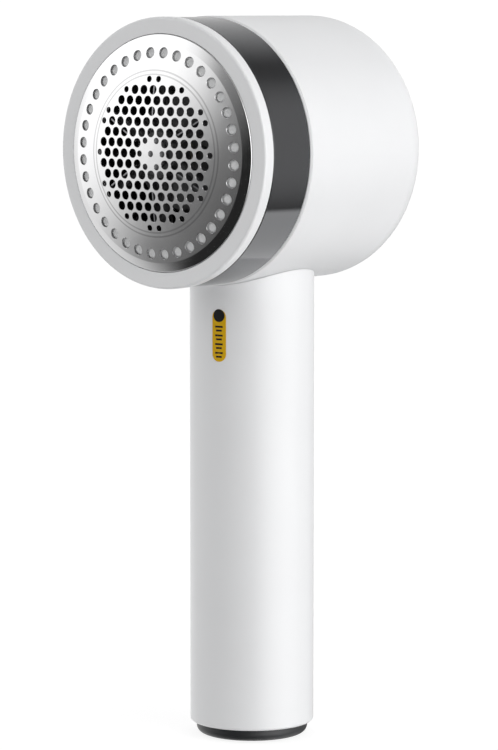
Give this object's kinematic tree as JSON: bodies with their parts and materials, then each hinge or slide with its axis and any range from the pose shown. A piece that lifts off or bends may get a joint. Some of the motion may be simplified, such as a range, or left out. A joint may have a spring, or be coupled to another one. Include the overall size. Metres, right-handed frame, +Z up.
{
  "type": "fabric shaver",
  "caption": "Cordless hand-held fabric shaver with a drum head, perforated steel foil in a twist-off ring, pull-off smoky lint container and round battery handle.",
  "frame": {"origin": "middle of the foot pad's underside, on the surface the shaver stands on", "axes": "+Z up along the handle's axis, -Y the way the foil faces, +X to the right of the head seen from the front"},
  "size_m": [0.0764, 0.079, 0.2087],
  "materials": {
    "white_shell": "satin",
    "ring_plastic": "satin",
    "frame_ring_plastic": "satin",
    "button_plastic": "satin",
    "smoke": "gloss",
    "base_plastic": "satin",
    "dark_plastic": "satin",
    "frame_plastic": "matte",
    "hub_plastic": "satin",
    "ivory_plastic": "satin",
    "black_rubber": "matte",
    "felt": "felt",
    "label_film": "satin",
    "foil_steel": "polished",
    "blade_steel": "ground",
    "steel": "plated",
    "spring_steel": "bright",
    "motor_steel": "zinc plated",
    "core_steel": "dull",
    "nickel": "bright",
    "magnet": "dull",
    "bronze": "satin",
    "copper": "bright",
    "carbon": "dull",
    "lead_insulation": "satin",
    "battery_wrap": "plastic wrapped",
    "circuit_board": "solder mask",
    "chip": "matte",
    "lamp": "gloss",
    "clear_lens": "frosted"
  },
  "bodies": {
    "housing": {"head_shell": "white_shell", "handle_shell": "white_shell", "base_cap": "base_plastic", "foot_pad": "black_rubber", "label": "label_film", "neck_nut": "steel", "drum_seal": "black_rubber", "chassis": "dark_plastic", "motor_cup": "dark_plastic", "cup_screws": "steel", "chassis_screws": "steel", "dust_seal": "felt", "motor_can": "motor_steel", "motor_magnets": "magnet", "motor_end_cap": "dark_plastic", "motor_bushes": "bronze", "motor_brushes": "carbon", "motor_terminals": "bronze", "motor_screws": "steel", "motor_damper": "black_rubber", "motor_leads": "lead_insulation", "battery_cell": "battery_wrap", "battery_frame": "frame_plastic", "battery_tabs": "nickel", "control_board": "circuit_board", "board_chips": "chip", "board_screws": "steel", "usb_socket": "nickel", "usb_tongue": "chip", "switch_body": "nickel", "charge_led": "lamp", "light_lens": "clear_lens", "base_screws": "steel"},
    "lint_container": {"lint_container": "smoke"},
    "ring_seal": {"ring_seal": "black_rubber"},
    "face_ring": {"face_ring": "ring_plastic", "foil": "foil_steel", "foil_frame": "frame_ring_plastic", "foil_screws": "steel"},
    "rotor": {"motor_shaft": "steel", "armature_core": "core_steel", "armature_coils": "copper", "commutator": "copper", "drive_dog": "ivory_plastic", "blade_spring": "spring_steel"},
    "cutter": {"blade_hub": "hub_plastic", "blade_leaves": "blade_steel", "blade_cap": "blade_steel"},
    "power_button": {"power_button": "button_plastic", "switch_plunger": "chip"}
  },
  "joints": [
    {"name": "container_pull", "type": "slide", "parent": "housing", "child": "lint_container", "axis": [0, -1, 0], "range_m": [0, 0.03]},
    {"name": "ring_lift", "type": "slide", "parent": "lint_container", "child": "ring_seal", "axis": [0, -1, 0], "range_m": [0, 0.006]},
    {"name": "ring_twist", "type": "hinge", "parent": "ring_seal", "child": "face_ring", "pos_m": [0, 0, 0.1705], "axis": [0, -1, 0], "range_deg": [0, 60]},
    {"name": "motor_spin", "type": "hinge", "parent": "housing", "child": "rotor", "pos_m": [0, 0, 0.1705], "axis": [0, -1, 0], "continuous": true},
    {"name": "cutter_float", "type": "slide", "parent": "rotor", "child": "cutter", "axis": [0, 1, 0], "range_m": [0, 0.0012], "stiffness_N_per_m": 1200, "springref_m": -0.001, "deforming": ["blade_spring"]},
    {"name": "button_press", "type": "slide", "parent": "housing", "child": "power_button", "axis": [0, -1, 0], "range_m": [0, 0.0006], "stiffness_N_per_m": 2500, "springref_m": -0.0004}
  ],
  "couplings": [
    {"joint": "ring_lift", "follows": "ring_twist", "m_per_rad": 0.00572}
  ]
}
